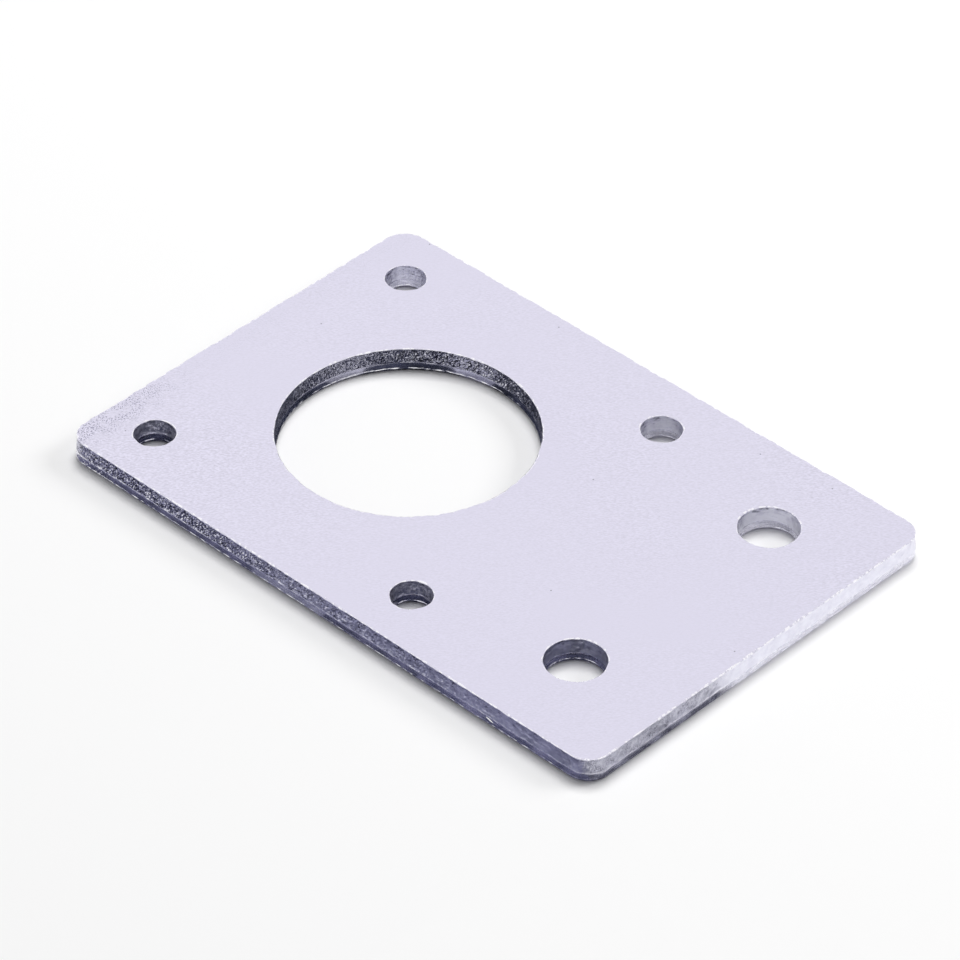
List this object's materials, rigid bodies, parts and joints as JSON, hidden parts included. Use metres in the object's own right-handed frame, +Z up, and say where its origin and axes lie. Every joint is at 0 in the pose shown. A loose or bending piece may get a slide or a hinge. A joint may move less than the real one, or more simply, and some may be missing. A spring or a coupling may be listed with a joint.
{
  "type": "motor mounting bracket",
  "caption": "Flat steel mounting plate with rounded corners, a pilot hole ringed by motor screw holes, and a pair of larger frame holes at one end.",
  "frame": {"origin": "on the pilot hole's axis, in the plane of the lower face; the pilot_hole mount's point is 0.4 mm up that axis, on the hole's wall", "axes": "+Z up, out of the upper face, where the burr of the punching is; +X along the plate towards the two frame holes; +Y across the plate"},
  "size_m": [0.062, 0.042, 0.0025],
  "materials": {
    "zinc_plated_steel": "bright zinc plating, satin, over punched steel sheet"
  },
  "bodies": {
    "root": {"mounting_plate": "zinc_plated_steel"}
  },
  "joints": []
}
